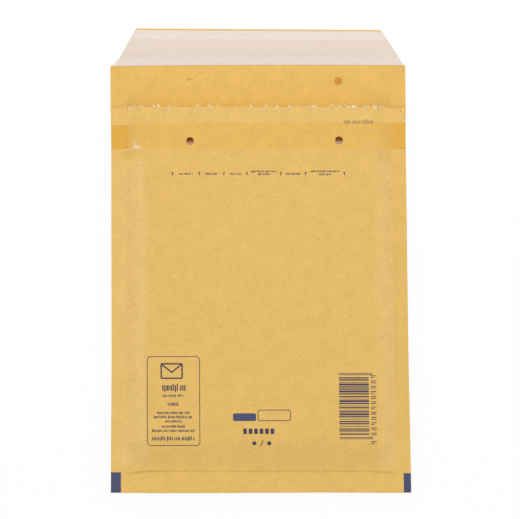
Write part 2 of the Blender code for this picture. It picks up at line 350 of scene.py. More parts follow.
openingLine = {
    "drop": 38.5 * mm,  # arrow middles below the mouth edge
    "arrows": [-48.9, -33.7, -19.6, -6.4, 12.9, 27.1, 49.2],
    "height": 2.15 * mm,
    "neck": 0.45,  # share of the arrow that its head takes
    "head": 1.5 * mm,
    "shaft": 0.5 * mm,
    "single": (-0.75, [(-45.3, -37.3), (-30.0, -23.3), (-16.0, -9.7), (15.9, 24.2)]),  # height, runs
    "double": (0.7, -0.95, [(-4.1, 10.5, -0.1, 6.8), (30.1, 46.1, 34.7, 41.8)]),
    "print": 0.9 * mm,
    "tick": (0.4 * mm, 0.25 * mm),  # width and gap
}


def openingShapes(draw):
    line = openingLine
    middle = mouthY - line["drop"]
    top, low = middle + line["height"] / 2, middle - line["height"] / 2
    neck = top - line["neck"] * line["height"]
    half, shaft = line["head"] / 2, line["shaft"] / 2
    shapes = []
    for place in line["arrows"]:
        x = place * mm
        points = [(x - shaft, low), (x + shaft, low), (x + shaft, neck), (x + half, neck), (x, top)]
        shapes.append((inkMark, points + [(x - half, neck), (x - shaft, neck)]))
    height, pairs = line["single"]
    rows = [(x0, x1, height) for x0, x1 in pairs]
    upper, lower, pairs = line["double"]
    for x0, x1, x2, x3 in pairs:
        rows += [(x0, x1, upper), (x2, x3, lower)]
    for x0, x1, height in rows:
        y = middle + height * mm
        shapes += tickRun(x0 * mm, x1 * mm, y, y + line["print"], draw, *line["tick"])
    return shapes


infoBox = {
    "frame": (-64.0, -33.9, 26.4, 77.1),
    "line": 0.42 * mm,
    "radius": 2.0 * mm,
    "sign": (-56.3, -43.6, 64.2, 73.2),
    "signLine": 0.85 * mm,
    "signRadius": 0.9 * mm,
    "rows": [  # x from, x to, bottom and height of each row of small marks
        (-55.3, -42.1, 57.6, 3.1),
        (-55.0, -42.8, 54.2, 1.0),
        (-52.2, -45.8, 49.0, 1.9),
        (-58.3, -39.5, 44.4, 1.2),
        (-60.0, -37.9, 42.0, 1.2),
        (-53.7, -44.1, 39.6, 1.2),
        (-55.6, -42.3, 36.7, 1.2),
        (-61.1, -37.0, 34.3, 1.2),
        (-61.2, -37.1, 29.5, 1.9),
    ],
    "ticks": {3.1: (0.75, 0.42), 1.9: (0.5, 0.38), 1.2: (0.41, 0.25), 1.0: (0.41, 0.25)},  # by height
}


def infoShapes(draw):
    place = infoBox
    shapes = outlinedBox(*onFront(*place["frame"]), place["line"], place["radius"])
    # a plain envelope sign in place of the mark
    x0, x1, y0, y1 = onFront(*place["sign"])
    line = place["signLine"]
    shapes += outlinedBox(x0, x1, y0, y1, line, place["signRadius"])
    inner = 0.7 * line
    bends = [(x0 + inner, y1 - inner), ((x0 + x1) / 2, y0 + 0.42 * (y1 - y0)), (x1 - inner, y1 - inner)]
    shapes.append((inkMark, stroke(bends, line)))
    for x0, x1, low, height in place["rows"]:
        tick, gap = place["ticks"][height]
        y = foldY + low * mm
        shapes += tickRun(x0 * mm, x1 * mm, y, y + height * mm, draw, tick * mm, gap * mm)
    return shapes


centreMark = {
    "bar": (-15.3, -2.2, 40.4, 44.8),  # filled bar, mm
    "field": (-1.3, 17.4, 40.4, 46.8),  # outlined field beside it
    "line": 0.44 * mm,
    "radii": (0.9 * mm, 1.1 * mm, 0.4 * mm),  # of the bar, the field and the blocks
    "blocks": (-9.6, 9.0, 33.1, 36.2, 6, 0.68),  # the last two: how many, and their share of the pitch
    "size": (-4.5, 6.3, 26.3, 29.4),
    "dot": 1.2 * mm,
    "slash": (0.8 * mm, 0.5 * mm),  # half its lean, and its width
}


def centreShapes():
    barRadius, fieldRadius, blockRadius = centreMark["radii"]
    shapes = [(solidMark, roundedBox(*onFront(*centreMark["bar"]), barRadius))]
    shapes += outlinedBox(*onFront(*centreMark["field"]), centreMark["line"], fieldRadius)
    x0, x1, y0, y1, count, share = centreMark["blocks"]
    pitch = (x1 - x0) / count
    for index in range(count):
        left = x0 + pitch * index
        shapes.append((inkMark, roundedBox(*onFront(left, left + share * pitch, y0, y1), blockRadius, 3)))
    x0, x1, low, high = onFront(*centreMark["size"])
    dot = centreMark["dot"]
    for x in (x0 + dot, x1 - dot):
        shapes.append((inkMark, disc(x, (low + high) / 2, dot)))
    half, width = centreMark["slash"]
    middle = (x0 + x1) / 2
    shapes.append((inkMark, stroke([(middle - half, low), (middle + half, high)], width)))
    return shapes


stripes = {
    "column": (44.9, 61.8, 30.2, 67.5),
    "guard": 2.1 * mm,  # how much longer the end pairs are
    "module": 0.392 * mm,
    "margin": (6, 4),  # modules left bare inside the end pairs: above, below
    "notes": (62.9 * mm, 66.0 * mm, 13),  # x from, x to, how many
    "noteLine": (-0.6 * mm, 0.4 * mm, 0.48 * mm),  # lower and upper bar of each note, and their width
}


def stripeShapes(draw):
    # a column of plain stripes of mixed widths, with a longer pair at each end
    left, right, low, high = onFront(*stripes["column"])
    module = stripes["module"]
    shapes = []
    for edge, step in ((high, -1), (low, 1)):
        for index in (0, 2):
            a, b = edge + step * index * module, edge + step * (index + 1) * module
            shapes.append((inkMark, box(left, right + stripes["guard"], min(a, b), max(a, b))))
    above, below = stripes["margin"]
    y = high - above * module
    while y - below * module > low + below * module:
        width = draw.choice((1, 1, 2, 2, 2, 3)) * module
        shapes.append((inkMark, box(left, right, y - width, y)))
        y -= width + draw.choice((1, 1, 1, 2, 2)) * module
    left, right, count = stripes["notes"]
    lower, upper, width = stripes["noteLine"]
    pitch = (high - low - 2 * mm) / (count - 1)
    for index in range(count):
        middle = high - 2.2 * mm - pitch * index - (1.9 * mm if index == count - 1 else 0)
        shapes.append((inkMark, box(left, right, middle + upper, middle + upper + width)))
        short = right if index % 3 else left + 0.6 * (right - left)
        shapes.append((inkMark, box(left, short, middle + lower, middle + lower + width)))
    return shapes


cornerMarks = [  # from past the sheet's edge, which cuts them; height
    (-85.5, -79.1, 11.45),
    (81.15, 85.8, 10.9),
]
batchMark = {"from": 49.3 * mm, "to": 66.4 * mm, "drop": 9.9 * mm, "height": 1.9 * mm, "tick": 0.42 * mm}
specks = {  # darker bits of fibre in the sheet: x, y from the bottom fold, width, mm
    "placed": [
        (-66.2, 8.2, 0.55), (-70.4, 175.0, 0.45), (-30.0, 194.0, 0.5), (-73.0, 161.0, 0.4),
        (-45.9, 161.5, 0.4), (20.0, 164.0, 0.5), (58.5, 164.0, 0.4), (-30.4, 119.0, 0.45),
        (-22.2, 94.0, 0.45), (82.3, 218.2, 0.7), (24.0, 133.0, 0.35), (70.0, 88.0, 0.4),
    ],
    "loose": 60,
    "looseWidth": (0.16, 0.3),
}


def otherShapes(draw):
    shapes = []
    for x0, x1, height in cornerMarks:
        low = foldCentre - 0.55 * foldArc
        shapes.append((solidMark, box(x0 * mm, x1 * mm, low, foldY + height * mm)))
    mark = batchMark
    y, tick = mouthY - mark["drop"], mark["tick"]
    shapes += tickRun(mark["from"], mark["to"], y, y + mark["height"], draw, tick, tick, faintMark)
    for x, y, width in specks["placed"]:
        shapes.append((speckMark, disc(x * mm, foldY + y * mm, width * mm / 2, 7, 1.3, draw.uniform(0, 3))))
    for index in range(specks["loose"]):
        x, y = draw.uniform(-0.97, 0.97) * halfWidth, draw.uniform(foldY + 2 * mm, mouthY - 2 * mm)
        width = draw.uniform(*specks["looseWidth"]) * mm
        shapes.append((speckMark, disc(x, y, width / 2, 6, draw.uniform(1, 2), draw.uniform(0, 3))))
    return shapes


# Clip holes, punched through everything below the mouth, and through the flap on the right
holes = {
    "radius": 2.3 * mm,
    "sides": 28,
    "body": [(-39.17 * mm, 19.6 * mm), (46.13 * mm, 19.2 * mm)],  # x, and drop below the mouth
    "flap": (46.45 * mm, 16.8 * mm),  # x, and rise above the mouth
    "uncut": (-39.45 * mm, 16.25 * mm),  # here the flap's disc is still in place
    "uncutRadius": 2.2 * mm,
    "uncutWall": 0.6 * mm,
    "uncutDepth": 0.13 * mm,
    "uncutSlope": 0.035,  # it is pressed in deepest at its upper left
    "filmShift": 2.1 * mm,  # the front film slipped after the punching and covers part of the hole
    "discs": [(0.02, 0.02), (0.05, -0.16), (0.05, -0.16)],  # slopes of the punched discs: flap, body
    "discDrop": 0.45 * mm,
    "discPaper": 0.12 * mm,
}


def bodyRows():
    # stations along the blank from the mouth edge, down the front, round the fold and up the back
    full = weldY + pocket["shoulder"]
    front = [(full, 2.2 * mm), (creaseY + 2 * mm, 0.9 * mm), (creaseY - 2 * mm, 0.3 * mm)]
    front = runs(mouthY, *front, (foldCentre, 1.2 * mm), (foldCentre - foldArc, foldArc / 8))
    back = runs(foldCentre, (full, 1.2 * mm), (mouthY, 2.4 * mm))
    return front + [backRow(y) for y in back[1:]]


def flapRows():
    corner = endY - flap["right"]["corner"]
    return runs(mouthY, (neckY, 1.7 * mm), (flareEnd, 0.5 * mm), (corner, 1.9 * mm), (endY, 0.22 * mm))


def acrossShares():
    inner = weldX - pocket["shoulder"]
    right = runs(inner, (weldX + 1 * mm, 0.95 * mm), (halfWidth, 1.6 * mm))
    places = [-x for x in reversed(right)] + spread(-inner, inner, 2.1 * mm)[1:-1] + right
    return [x / halfWidth for x in places]


def outside(x, y, discs, margin):
    return all(math.hypot(x - a, y - b) >= radius + margin for a, b, radius in discs)


def addFace(points, faces, shape):
    faces.append(list(range(len(points), len(points) + len(shape))))
    points += shape


def addOnBlank(bm, place, x, y):
    # a vertex that keeps its place on the flat blank, for the finishes
    vertex = bm.verts.new(place)
    vertex[bm.verts.layers.float_vector["blank"]] = (x, y, 0.0)
    return vertex


def thinSheet(bm, points, faces, clips, fills, place, slots=(0, 0), order=1):
    # a flat layout made a thin closed sheet: two skins, and walls along every open edge; faces are
    # the outline, then the holes through it, then the fills, of which None leaves the upper skin open
    body, under = slots
    found, _, triangles, _, _, origins = delaunay_2d_cdt(points, [], faces, 0, 1e-7, True)
    print("laid out", len(found), "points and", len(triangles), "triangles")
    upper, lower = [[place(point, side) for point in found] for side in (True, False)]
    edges = {}
    for triangle, origin in zip(triangles, origins):
        if 0 not in origin or any(0 < face <= clips for face in origin):
            continue
        corners = list(triangle)[::order]
        fill = fills[max(origin) - clips - 1] if max(origin) > clips else body
        if fill is not None:
            bm.faces.new([upper[index] for index in corners]).material_index = fill
        bm.faces.new([lower[index] for index in reversed(corners)]).material_index = under
        for index, here in enumerate(corners):
            edges[(here, corners[(index + 1) % 3])] = True
    for here, after in edges:
        if (after, here) not in edges:
            wall = (upper[after], upper[here], lower[here], lower[after])
            bm.faces.new(wall).material_index = under
    return found, upper


def closeSkins(bm, skins):
    # two like grids of vertices made one closed sheet
    top, low = skins
    rows, columns = len(top), len(top[0])
    for row in range(rows - 1):
        for column in range(columns - 1):
            for skin, order in ((top, 1), (low, -1)):
                near, far = skin[row], skin[row + 1]
                bm.faces.new((near[column], near[column + 1], far[column + 1], far[column])[::order])
    rim = [(0, c) for c in range(columns)] + [(r, columns - 1) for r in range(1, rows)]
    rim += [(rows - 1, c) for c in range(columns - 2, -1, -1)] + [(r, 0) for r in range(rows - 2, 0, -1)]
    for index, (r, c) in enumerate(rim):
        nextR, nextC = rim[(index + 1) % len(rim)]
        bm.faces.new((top[r][c], low[r][c], low[nextR][nextC], top[nextR][nextC]))


def finishMesh(name, bm, angle, facing=True):
    loose = [vertex for vertex in bm.verts if not vertex.link_faces]
    bmesh.ops.delete(bm, geom=loose, context="VERTS")
    if facing:
        bmesh.ops.recalc_face_normals(bm, faces=bm.faces)
    mesh = bpy.data.meshes.new(name)
    bm.to_mesh(mesh)
    bm.free()
    mesh.shade_smooth()
    mesh.set_sharp_from_angle(angle=math.radians(angle))
    piece = bpy.data.objects.new(name, mesh)
    bpy.context.scene.collection.objects.link(piece)
    print(name, "has", len(mesh.polygons), "faces")
    return piece


def buildJacket():
    draw = random.Random(14)
    shapes = openingShapes(draw) + infoShapes(draw) + centreShapes() + stripeShapes(draw) + otherShapes(draw)
    shares, along, upFlap = acrossShares(), bodyRows()[1:], flapRows()[1:]
    # the blank's outline with the stations along its long edges
    points = [(share * halfWidth, mouthY) for share in reversed(shares)]
    points += [(-halfWidth, place) for place in along]
    points += [(acrossFlap(-1, y), backRow(y)) for y in upFlap]
    points += [(acrossFlap(share, endY), backRow(endY)) for share in shares[1:]]
    points += [(acrossFlap(1, y), backRow(y)) for y in reversed(upFlap[:-1])]
    points += [(halfWidth, place) for place in reversed(along)]
    faces = [list(range(len(points)))]
    punched = []
    for x, drop in holes["body"]:
        punched += [(x, place, holes["radius"]) for place in (mouthY - drop, backRow(mouthY - drop))]
    x, up = holes["flap"]
    punched.append((x, backRow(mouthY + up), holes["radius"]))
    x, up = holes["uncut"]
    y, radius = backRow(mouthY + up), holes["uncutRadius"]
    for a, b, size in punched:
        addFace(points, faces, disc(a, b, size, holes["sides"]))
    for kind, shape in shapes:
        shape = stationed(shape, 2.2 * mm)
        addFace(points, faces, [(a + printShift[0], b + printShift[1]) for a, b in shape])
    for share in (0.0, 0.5, 1.0):  # rings of points at the half-cut disc
        points += disc(x, y, radius - share * holes["uncutWall"], holes["sides"])
    inside = [(share * halfWidth, place) for place in along for share in shares[1:-1]]
    inside += [(acrossFlap(share, place), backRow(place)) for place in upFlap[:-1] for share in shares[1:-1]]
    keepOut = punched + [(x, y, radius)]
    points += [(a, b) for a, b in inside if outside(a, b, keepOut, 0.4 * mm)]
    bm = bmesh.new()
    bm.verts.layers.float_vector.new("blank")

    def place(point, outer):
        spot = foldedPoint(point.x, point.y, outer)
        right, above = point.x - x, y - point.y
        pressed = ease((radius - math.hypot(right, above)) / holes["uncutWall"])
        spot.z += pressed * (holes["uncutSlope"] * (right - above) - holes["uncutDepth"])
        spot.z = max(spot.z, 0.0)
        return addOnBlank(bm, spot, point.x, point.y)

    thinSheet(bm, points, faces, len(punched), [kind for kind, shape in shapes], place, (0, 1))
    return finishMesh("jacketPaper", bm, 34)


# Bubble film: two plies, each a thin closed sheet with its bubbles on the paper's side
bubbles = {
    "pitch": 11 * mm,
    "foot": 5.3 * mm,  # radius
    "sides": 14,
    "rings": [(0.97, 0.3), (0.88, 0.66), (0.72, 0.9), (0.4, 1.0)],  # share of radius and of height
    "tall": 0.97,  # share of the free height that a bubble takes
    "edgeStep": 1.1 * mm,
    "rowStep": 3 * mm,
    "thinned": 0.02 * mm,  # the film's other face, from the pocket's free space
    "drawnBack": -1.3 * mm,  # where the film's cut edge lies inside the mouth
    "rag": 0.5 * mm,  # how uneven that cut is
    "ragRun": 1.5 * mm,
    "flutter": 0.25 * mm,  # waves of the front film near the mouth
    "flutterSize": 9 * mm,
    "flutterRun": 6 * mm,
}


def goodsHeight(full, up):
    # face towards the goods, of the upper ply where up is 1 and of the lower where it is -1
    wall = pocket["paper"] + pocket["layGap"] + pocket["bubbleHeight"] + pocket["film"]
    return seamMiddle + ((paperHigh.z - wall if up > 0 else wall) - seamMiddle) * full


def bubbleCentres():
    inner = weldX - pocket["shoulder"]
    lowY = weldY + pocket["shoulder"]
    pitch = bubbles["pitch"]
    rowPitch = pitch * math.sqrt(3) / 2
    rows = int((filmHigh.y - lowY - pitch) / rowPitch) + 1
    firstY = (filmHigh.y + lowY - (rows - 1) * rowPitch) / 2
    punched = [(x, mouthY - drop, holes["radius"]) for x, drop in holes["body"]]
    centres = []
    for row in range(rows):
        count = int(2 * inner / pitch) - row % 2
        y = firstY + row * rowPitch
        centres += [((index - (count - 1) / 2) * pitch, y) for index in range(count)]
    return [(x, y) for x, y in centres if outside(x, y, punched, pitch / 2)]


def buildLining():
    bm = bmesh.new()
    edgeX, highY = filmHigh.x, filmHigh.y
    columns = spread(-edgeX, edgeX, bubbles["edgeStep"])
    rows = spread(filmLow.y, highY, bubbles["rowStep"])
    foot, sides = bubbles["foot"], bubbles["sides"]
    centres = bubbleCentres()
    for up in (1, -1):  # the front ply, whose bubbles point up, then the back ply
        points = [(x, filmLow.y) for x in columns] + [(edgeX, y) for y in rows[1:]]
        points += [(x, highY) for x in reversed(columns[:-1])] + [(-edgeX, y) for y in reversed(rows[1:-1])]
        faces = [list(range(len(points)))]
        slipped = holes["filmShift"] if up > 0 else 0.0
        clips = [(x, mouthY - drop + slipped, holes["radius"]) for x, drop in holes["body"]]
        for x, y, radius in clips:
            addFace(points, faces, disc(x, y, radius, holes["sides"]))
        for x, y in centres:
            addFace(points, faces, disc(x, y, foot, sides))
        blocked = clips + [(x, y, foot) for x, y in centres]
        inside = [(x, y) for y in rows[1:-1] for x in columns[2:-2:2]]
        points += [(x, y) for x, y in inside if outside(x, y, blocked, 0.3 * mm)]

        def layer(x, y, paperSide):
            # the front film's uneven cut hides inside the mouth but for the slivers
            full, below = fullness(x, y), highY - y
            shift, z = bubbles["drawnBack"], goodsHeight(full, up)
            z += up * (pocket["film"] if paperSide else bubbles["thinned"])
            if up > 0:
                rag = 0.55 * cloud(x, 0, 6 * mm, 4.4) + 0.45 * cloud(x, 0, 2.3 * mm, 6.1)
                shift += bubbles["rag"] * rag
                flutter = bubbles["flutter"] * cloud(x, y, bubbles["flutterSize"], 7.7)
                z += flutter * full * ease(1 - below / bubbles["flutterRun"])
            return leaned(x, y + shift * math.exp(-below / bubbles["ragRun"]), z)

        found, skin = thinSheet(
            bm, points, faces, len(clips), [None] * len(centres),
            lambda point, paperSide: bm.verts.new(layer(point.x, point.y, paperSide)), order=up,
        )
        nearest = {(round(point.x, 6), round(point.y, 6)): vertex for point, vertex in zip(found, skin)}
        for x, y in centres:
            before = [nearest[(round(a, 6), round(b, 6))] for a, b in disc(x, y, foot, sides)]
            base = layer(x, y, True).z
            room = min(fullness(x + a, y + b) for a, b in ((foot, 0), (-foot, 0), (0, -foot), (0, foot)))
            tall = up * pocket["bubbleHeight"] * bubbles["tall"] * room
            for share, height in bubbles["rings"]:
                edge = disc(x, y, foot * share, sides)
                ring = [bm.verts.new(leaned(a, b, base + tall * height)) for a, b in edge]
                for index in range(sides):
                    after = (index + 1) % sides
                    bm.faces.new((before[index], before[after], ring[after], ring[index])[::up])
                before = ring
            bm.faces.new(before[::up])
    return finishMesh("liningFilm", bm, 40, facing=False)


# Torn slivers of film along the cut mouth edge, where they catch the light; their finish adds painted glints
slivers = {
    "clusters": [  # x from, x to (mm), how many
        (-72.0, -66.0, 8), (-60.5, -55.5, 9), (-51.5, -44.5, 5), (-36.8, -33.2, 6),
        (-28.6, -22.3, 7), (-13.5, -11.5, 3), (-4.6, -2.8, 4), (5.0, 12.0, 7),
        (18.0, 22.6, 7), (27.6, 33.3, 9), (40.3, 56.0, 30), (60.4, 64.0, 4), (66.2, 72.8, 10),
        (-78.6, -72.4, 8),
    ],
    "width": (0.4, 1.3),
    "reach": (0.4, 1.7),
    "overLip": 0.45,  # share of them that curl back over the paper's edge
    "turn": (-0.7, 0.7),
    "curl": (-0.4, 0.9),
    "taper": 0.45,
    "jitter": 0.13,
    "depth": 0.15 * mm,  # of their roots, below the paper
    "thickness": 0.05 * mm,
    "grid": (4, 3),  # faces along and across
}


def buildSlivers():
    draw = random.Random(5)
    bm = bmesh.new()
    for x0, x1, count in slivers["clusters"]:
        for index in range(count):
            addSliver(bm, draw, draw.uniform(x0, x1) * mm)
    return finishMesh("tornFilmEdge", bm, 20)


def addSliver(bm, draw, x):
    width, reach = (draw.uniform(*slivers[name]) * mm for name in ("width", "reach"))
    overLip = draw.random() < slivers["overLip"]
    turn, curl = (draw.uniform(*slivers[name]) for name in ("turn", "curl"))
    lip = foldedPoint(x, mouthY, True).z
    base = lip - pocket["paper"] - slivers["depth"]
    along, across = slivers["grid"]
    grid = []
    for row in range(along + 1):
        share = row / along
        if overLip:  # out of the mouth, up, and back over the paper's edge
            back = 0.9 * reach * max(share - 0.5, 0) * 2
            y = mouthY + 0.25 * mm + 0.5 * reach * math.sin(math.pi * share) - back
            z = base + (lip + 0.14 * mm - base) * ease(share * 1.5) + 0.1 * mm * curl * share
        else:
            y = mouthY + reach * share
            z = base + (lip - 0.2 * mm - base) * ease(share * 1.3) + 0.5 * mm * curl * share * share
        line = []
        for column in range(across + 1):
            aside = (column / across - 0.5) * width * (1 - slivers["taper"] * share)
            jitter = draw.uniform(-slivers["jitter"], slivers["jitter"]) * mm
            line.append((x + aside + turn * reach * share, y + jitter * 0.6, z + jitter))
        grid.append(line)
    skins = []
    for sink in (0.0, slivers["thickness"]):
        skins.append([[bm.verts.new(leaned(a, b, c - sink)) for a, b, c in line] for line in grid])
    closeSkins(bm, skins)


def buildBand(name, rows, lay):
    # a thin band from one slanted end to the other; lay gives x, its lower face and its thickness
    bm = bmesh.new()
    bm.verts.layers.float_vector.new("blank")
    skins = []
    for top in (1, 0):
        skin = []
        for y in rows:
            line = []
            for share in spread(-1, 1, 0.02):
                x, place, thick = lay(share, y)
                place.z += top * thick
                line.append(addOnBlank(bm, place, x, y))
            skin.append(line)
        skins.append(skin)
    closeSkins(bm, skins)
    return finishMesh(name, bm, 40)


strip = {
    "step": 0.8 * mm,
    "inset": 1 * mm,
    "round": 0.8 * mm,  # the ribbon thins out over this width, down to the next share
    "edge": 0.4,
    "lift": 0.05 * mm,
    "uneven": 0.15,
}


def layStrip(share, y):
    # the adhesive lies in one rounded ribbon across the flap
    x = acrossFlap(share, y) - share * strip["inset"]
    inward = min(y - stripLow.y, stripHigh.y - y, (1 - abs(share)) * halfWidth) / strip["round"]
    thick = (stripHigh.z - stripLow.z) * (strip["edge"] + (1 - strip["edge"]) * ease(inward))
    place = foldedPoint(x, backRow(y), False)
    place.z += strip["lift"]
    return x, place, thick * (1 + strip["uneven"] * cloud(x, y, 4 * mm, 3.3))


liner = {
    "drape": 1.2 * mm,
    "thickness": 0.08 * mm,
    "lift": 0.04 * mm,
    "overStrip": 0.27 * mm,
    "cockle": 0.08 * mm,
    "cockleSize": 21 * mm,
    "inset": 0.25 * mm,  # back from the flap's slanted cuts
    "footRun": 8 * mm,  # its foot is shifted, sloped and bowed, out to this far
    "footShift": 0.25 * mm,
    "footSlope": 0.003,
    "footBow": 0.43 * mm,
    "farShift": 0.3 * mm,
}


def layLiner(share, y):
    x = acrossFlap(share, y) - share * liner["inset"]
    nearFoot = 1 - clamp((y - neckY) / liner["footRun"])
    bow = liner["footBow"] * (1 - (x / halfWidth) ** 2)
    shift = nearFoot * (liner["footShift"] + liner["footSlope"] * x + bow)
    place = foldedPoint(x, backRow(y + shift), False)
    over = ease((y - stripLow.y + liner["drape"]) / liner["drape"])
    over *= ease((stripHigh.y + liner["drape"] - y) / liner["drape"])
    cockle = liner["cockle"] * (0.5 + 0.5 * cloud(x, y, liner["cockleSize"], 6.6))
    place.z += liner["lift"] + liner["overStrip"] * over + cockle
    return x, place, liner["thickness"]


def buildDiscs():
    # the punched discs: one lies in the flap's hole, two hang behind the front film
    x, up = holes["flap"]
    centres = [foldedPoint(x, backRow(mouthY + up), False)]
    for x, drop in holes["body"]:
        y = mouthY - drop
        centres.append(leaned(x, y, goodsHeight(fullness(x, y), 1) - holes["discDrop"]))
    bm = bmesh.new()
    rim = disc(0, 0, holes["radius"] - 0.02 * mm, holes["sides"])
    for slot, centre, (slopeX, slopeY) in zip((0, 1, 1), centres, holes["discs"]):

        def place(point, upper):
            z = max(centre.z - 0.04 * mm + slopeX * point.x + slopeY * point.y, 0.13 * mm)
            z -= 0.0 if upper else holes["discPaper"]
            return bm.verts.new((centre.x + point.x, centre.y + point.y, z))

        thinSheet(bm, rim, [list(range(len(rim)))], 0, [], place, (slot, slot))
    return finishMesh("punchedDiscs", bm, 30)


# Shader maths: a Wire is one output of a node, and sums on it add nodes
class Wire:
    def __init__(self, tree, socket=None):
        self.tree = tree
        self.socket = socket

    def add(self, kind, settings=None, sockets=None, out=0):
        node = self.tree.nodes.new(kind)
        for name, value in (settings or {}).items():
            setattr(node, name, value)
        for name, value in (sockets or {}).items():
            if isinstance(value, Wire):
                self.tree.links.new(value.socket, node.inputs[name])
            else:
                node.inputs[name].default_value = value
        return Wire(self.tree, node.outputs[out] if node.outputs else None)

    def other(self, name):
        # another output of the same node
        return Wire(self.tree, self.socket.node.outputs[name])

    def feed(self, name, shader="Principled BSDF"):
        self.tree.links.new(self.socket, self.tree.nodes[shader].inputs[name])

    def math(self, operation, *values):
        return self.add("ShaderNodeMath", {"operation": operation}, dict(enumerate(values)))

    def __add__(self, other):
        return self.math("ADD", self, other)

    def __sub__(self, other):
        return self.math("SUBTRACT", self, other)

    def __rsub__(self, other):
        return self.math("SUBTRACT", other, self)

    def __mul__(self, other):
        return self.math("MULTIPLY", self, other)

    def __truediv__(self, other):
        return self.math("DIVIDE", self, other)

    def __abs__(self):
        return self.math("ABSOLUTE", self)

    __radd__ = __add__
    __rmul__ = __mul__

    def reach(self, other):
        # distance from the middle of the two
        return self.math("SQRT", self * self + other * other)

    def split(self):
        across = self.add("ShaderNodeSeparateXYZ", None, {"Vector": self})
        return across, across.other("Y")

    def step(self, start, end):
        # 0 below start, 1 above end, smooth between
        ends = {"Value": self, "From Min": start, "From Max": end}
        return self.add("ShaderNodeMapRange", {"interpolation_type": "SMOOTHSTEP"}, ends)

    def over(self, edge, soft):
        return self.step(edge - soft, edge + soft)

    def band(self, start, end, soft):
        return self.over(start, soft) * (1 - self.over(end, soft))

    def cloudy(self, scale, detail=2.0, rough=0.55):
        kind = {"noise_dimensions": "3D"}
        values = {"Vector": self, "Scale": scale, "Detail": detail, "Roughness": rough}
        return self.add("ShaderNodeTexNoise", kind, values)

    def stretched(self, shares):
        return self.add("ShaderNodeVectorMath", {"operation": "MULTIPLY"}, {0: self, 1: shares})

    def shading(self, colour):
        # the colour made darker or lighter by this value
        return self.add("ShaderNodeVectorMath", {"operation": "SCALE"}, {0: colour, "Scale": self})

    def paint(self, under, over):
        # colour over laid on colour under, where this mask is 1
        under, over = (side if isinstance(side, Wire) else (*side, 1.0) for side in (under, over))
        return self.add("ShaderNodeMix", {"data_type": "RGBA"}, {0: self, 6: under, 7: over}, out=2)

    def bump(self, strength, distance):
        values = {"Strength": strength, "Distance": distance, "Height": self}
        self.add("ShaderNodeBump", None, values).feed("Normal")


def newFinish(name, colour, roughness, onBlank=True, **values):
    # the material, and the place that its pattern follows: on the flat blank or on the object
    material = bpy.data.materials.new(name)
    material.use_nodes = True
    inputs = material.node_tree.nodes["Principled BSDF"].inputs
    inputs["Base Color"].default_value = (*colour, 1.0)
    inputs["Roughness"].default_value = roughness
    for key, value in values.items():
        inputs[key.replace("_", " ")].default_value = value
    material.diffuse_color = (*colour, 1.0)
    wire = Wire(material.node_tree)
    if onBlank:
        return material, wire.add("ShaderNodeAttribute", {"attribute_name": "blank"}, out=1)
    return material, wire.add("ShaderNodeTexCoord", out=3)


kraft = {
    "body": (0.756, 0.479, 0.133),
    # painted light: lighter near the bottom fold, against the shade on the padding's lower slope
    "footPaintedLight": (0.778, 0.493, 0.138),
    "lip": (0.774, 0.491, 0.144),
    # painted light: lighter at the lip's two ends, against the shade of the side shoulders
    "lipEndPaintedLight": (0.825, 0.525, 0.155),
    "glue": (0.757, 0.455, 0.103),
    "glueEnd": (0.722, 0.4, 0.056),
    # painted light: paler on the padding's side shoulders
    "shoulderPaintedLight": (0.782, 0.514, 0.175),
    "edgeBand": (0.765, 0.5, 0.158),
    "flap": (0.806, 0.489, 0.123),
    # painted light: lighter on the flap just past the mouth, against the shade of the raised front panel
    "flapFootPaintedLight": (0.878, 0.538, 0.123),
    "flapSides": (0.762, 0.462, 0.112),
    "pocketSide": (0.79, 0.465, 0.11),
    # crushed fibres and painted shade in the pressed line; also the painted shade round the half-cut disc
    "crushedAndShaded": (0.6, 0.35, 0.075),
    # real scuffs and a faint streak; also the painted highlight round the half-cut disc
    "scuffAndPaintedHighlight": (0.871, 0.68, 0.45),
    "seam": (0.767, 0.485, 0.135),
    "darkFibre": (0.45, 0.25, 0.07),
    "grain": 0.28,
    "mottle": 0.11,
    "fibre": 0.2,
    "roughness": 0.72,
    "specular": 0.25,
    "bump": 0.12,
}


def kraftFinish(name, colour, roughness=kraft["roughness"]):
    return newFinish(name, kraft.get(colour, colour), roughness, Specular_IOR_Level=kraft["specular"])


def kraftColour(place, base):
    # paper grain, cloudy mottle and short pale and dark fibres over a base colour
    fine = place.cloudy(1000, 4.0, 0.7)
    broad = place.cloudy(120, 4.0, 0.6)
    lengthwise, crosswise = place.stretched((1.0, 3.5, 1.0)), place.stretched((3.5, 1.0, 1.0))
    fibre = lengthwise.cloudy(420, 2.0, 0.6) + crosswise.cloudy(420, 2.0, 0.6)
    shade = 1 + (fine - 0.5) * kraft["grain"] * 2 + (broad - 0.5) * kraft["mottle"] * 2
    toned = (shade + (fibre - 1.0) * kraft["fibre"]).shading(base)
    dark = place.cloudy(900, 1.0, 0.5).step(0.72, 0.8) * 0.35
    dark.paint(toned, kraft["darkFibre"]).feed("Base Color")


def paperBump(place, strength):
    rough = place.cloudy(1900, 3.0, 0.7) * 0.7 + place.cloudy(380, 2.0, 0.5) * 0.6
    rough.bump(strength, 0.06 * mm)


def kraftSurface(place, base, overlays, glued=0.0):
    # the zones laid over the base colour one after another, some real wear and glue and some painted light
    # and shade, then the grain of the paper
    colour = kraft[base]
    for mask, name in overlays:
        colour = mask.paint(colour, kraft[name])
    kraftColour(place, colour)
    dull = kraft["roughness"] - 0.05 + place.cloudy(160, 3.0, 0.6) * 0.1
    (dull - glued * 0.08).feed("Roughness")
    paperBump(place, kraft["bump"])


